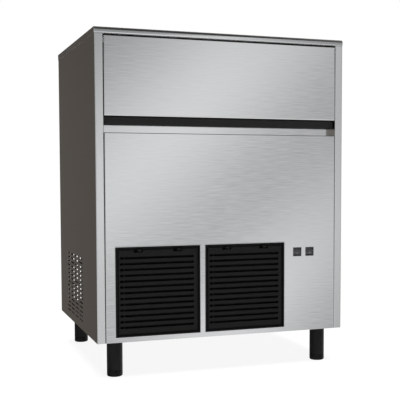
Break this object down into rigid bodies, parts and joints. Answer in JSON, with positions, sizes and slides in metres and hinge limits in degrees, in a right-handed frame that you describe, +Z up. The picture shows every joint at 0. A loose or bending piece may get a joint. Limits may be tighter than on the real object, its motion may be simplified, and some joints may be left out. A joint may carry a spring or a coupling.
{
  "type": "ice cube machine",
  "caption": "Floor-standing ice cube machine with a storage bin behind a lift-up door, louvred air grilles below and adjustable feet.",
  "frame": {"origin": "on the floor, under the middle of the machine with its rear fittings", "axes": "+X to the right as seen from the front, +Y to the rear, +Z up"},
  "size_m": [0.84, 0.74, 1.09],
  "materials": {
    "brushed_stainless": "brushed across",
    "stainless_side": "satin",
    "galvanised": "galvanised steel",
    "black_plastic": "fine grained",
    "switch_grey": "smooth",
    "white_plastic": "smooth",
    "foam": "rigid foam",
    "grey_rubber": "smooth",
    "clear_curtain": "flexible sheet",
    "copper": "drawn copper",
    "aluminium": "mill finish",
    "black_paint": "black enamel",
    "filter_mesh": "woven screen",
    "zinc": "zinc plated",
    "brass": "machined",
    "grey_plastic": "smooth"
  },
  "bodies": {
    "cabinet": {"base_pan": "galvanised", "left_side_panel": "stainless_side", "right_side_panel": "stainless_side", "rear_panel": "galvanised", "rear_screws": "zinc", "top_cover": "stainless_side", "face_frame": "brushed_stainless", "machine_deck": "galvanised", "bin_liner": "white_plastic", "foam_jacket": "foam", "front_panel": "brushed_stainless", "switch_bezels": "switch_grey", "hinge_bush_left": "white_plastic", "hinge_bush_right": "white_plastic", "foot_sleeves": "black_plastic", "condenser": "aluminium", "fan_shroud": "galvanised", "fan_motor": "black_paint", "motor_strap": "galvanised", "compressor": "black_paint", "compressor_mounts": "grey_rubber", "spray_chamber": "white_plastic", "evaporator": "copper", "evaporator_coil": "copper", "ice_slide": "brushed_stainless", "water_tray": "white_plastic", "spray_bar": "white_plastic", "water_pump": "black_paint", "pump_hose": "grey_rubber", "curtain_rod": "zinc", "suction_line": "copper", "discharge_line": "copper", "liquid_line": "copper", "filter_drier": "copper", "drain_hose": "grey_rubber", "water_valve": "brass", "control_box": "grey_plastic", "water_inlet": "brass", "drain_outlet": "grey_plastic", "cable_gland": "black_plastic"},
    "door": {"door_skin": "brushed_stainless", "door_liner": "white_plastic", "door_foam": "foam", "door_gasket": "grey_rubber", "hand_grip": "black_plastic", "hinge_pins": "zinc"},
    "grille_left": {"left_grille": "black_plastic", "left_filter": "filter_mesh"},
    "grille_right": {"right_grille": "black_plastic", "right_filter": "filter_mesh"},
    "rocker_left": {"rocker_1": "switch_grey"},
    "rocker_right": {"rocker_2": "switch_grey"},
    "fan": {"fan_rotor": "aluminium"},
    "curtain_left": {"curtain_flap_1": "clear_curtain"},
    "curtain_middle": {"curtain_flap_2": "clear_curtain"},
    "curtain_right": {"curtain_flap_3": "clear_curtain"},
    "foot_front_left": {"foot_base_front_left": "black_plastic"},
    "foot_front_right": {"foot_base_front_right": "black_plastic"},
    "foot_rear_left": {"foot_base_rear_left": "black_plastic"},
    "foot_rear_right": {"foot_base_rear_right": "black_plastic"}
  },
  "joints": [
    {"name": "door_hinge", "type": "hinge", "parent": "cabinet", "child": "door", "pos_m": [0, -0.3545, 1.05], "axis": [-1, 0, 0], "range_deg": [0, 90]},
    {"name": "grille_left_tilt", "type": "hinge", "parent": "cabinet", "child": "grille_left", "pos_m": [-0.223, -0.3685, 0.1314], "axis": [1, 0, 0], "range_deg": [0, 45]},
    {"name": "grille_right_tilt", "type": "hinge", "parent": "cabinet", "child": "grille_right", "pos_m": [0.07, -0.3685, 0.1314], "axis": [1, 0, 0], "range_deg": [0, 45]},
    {"name": "rocker_left_pivot", "type": "hinge", "parent": "cabinet", "child": "rocker_left", "pos_m": [0.255, -0.3615, 0.381], "axis": [1, 0, 0], "range_deg": [0, 16]},
    {"name": "rocker_right_pivot", "type": "hinge", "parent": "cabinet", "child": "rocker_right", "pos_m": [0.3, -0.3615, 0.381], "axis": [1, 0, 0], "range_deg": [0, 16]},
    {"name": "fan_spin", "type": "hinge", "parent": "cabinet", "child": "fan", "pos_m": [-0.223, -0.2513, 0.252], "axis": [0, 1, 0], "continuous": true},
    {"name": "curtain_left_swing", "type": "hinge", "parent": "cabinet", "child": "curtain_left", "pos_m": [-0.196, 0.0542, 0.9129], "axis": [-1, 0, 0], "range_deg": [0, 70]},
    {"name": "curtain_middle_swing", "type": "hinge", "parent": "cabinet", "child": "curtain_middle", "pos_m": [0, 0.0542, 0.9129], "axis": [-1, 0, 0], "range_deg": [0, 70]},
    {"name": "curtain_right_swing", "type": "hinge", "parent": "cabinet", "child": "curtain_right", "pos_m": [0.196, 0.0542, 0.9129], "axis": [-1, 0, 0], "range_deg": [0, 70]},
    {"name": "foot_front_left_adjust", "type": "slide", "parent": "cabinet", "child": "foot_front_left", "axis": [0, 0, -1], "range_m": [0, 0.035]},
    {"name": "foot_front_right_adjust", "type": "slide", "parent": "cabinet", "child": "foot_front_right", "axis": [0, 0, -1], "range_m": [0, 0.035]},
    {"name": "foot_rear_left_adjust", "type": "slide", "parent": "cabinet", "child": "foot_rear_left", "axis": [0, 0, -1], "range_m": [0, 0.035]},
    {"name": "foot_rear_right_adjust", "type": "slide", "parent": "cabinet", "child": "foot_rear_right", "axis": [0, 0, -1], "range_m": [0, 0.035]}
  ]
}
